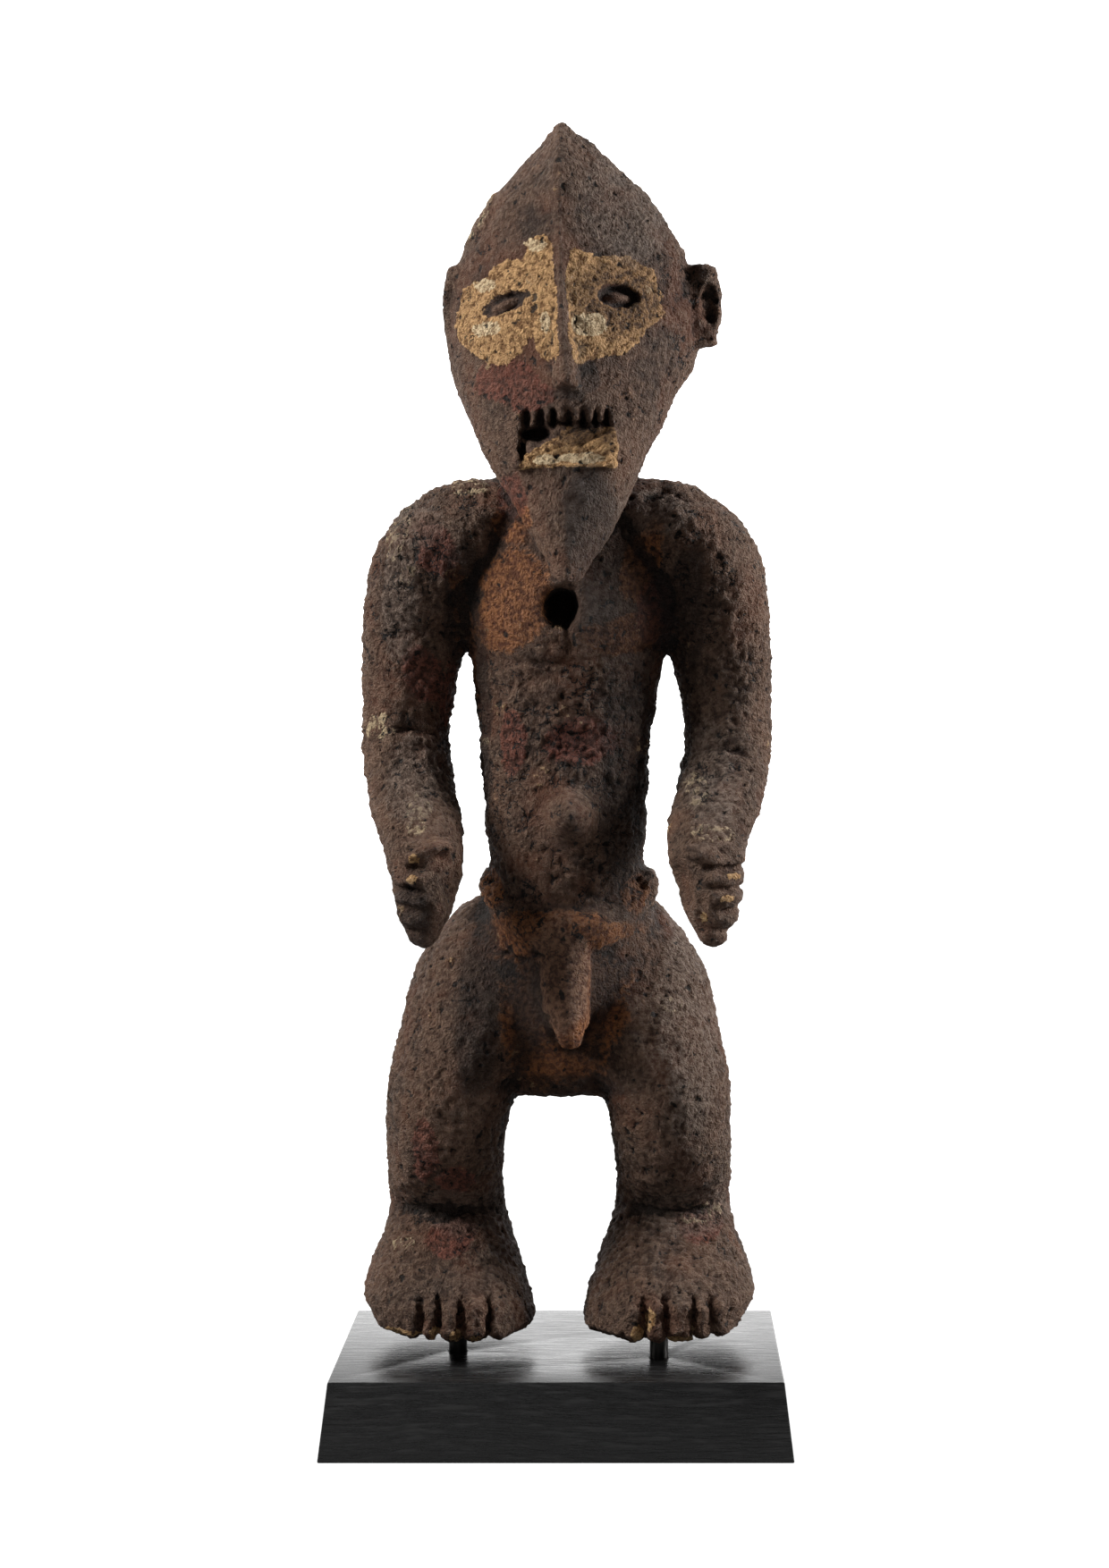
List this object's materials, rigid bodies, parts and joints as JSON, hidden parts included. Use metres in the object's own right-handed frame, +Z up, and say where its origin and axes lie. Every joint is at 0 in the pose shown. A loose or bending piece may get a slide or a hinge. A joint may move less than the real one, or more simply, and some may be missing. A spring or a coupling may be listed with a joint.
{
  "type": "power figure",
  "caption": "Standing carved wooden power figure with a keeled bearded head, cracked crust, belt and bent arms, held by short steel pins over a black wooden base.",
  "frame": {"origin": "middle of the underside of the base", "axes": "+Z up, the face of the figure towards -Y, +X to the right of someone who faces the figure"},
  "size_m": [0.2, 0.162, 0.573],
  "materials": {
    "crusted_wood": "matt dark brown crust, cracked and lumpy, with rust red and ochre areas",
    "black_wood": "black-stained open-pored wood, satin",
    "dark_steel": "blackened round rod"
  },
  "bodies": {
    "root": {"figure": "crusted_wood", "base": "black_wood", "pin_left": "dark_steel", "pin_right": "dark_steel"}
  },
  "joints": []
}
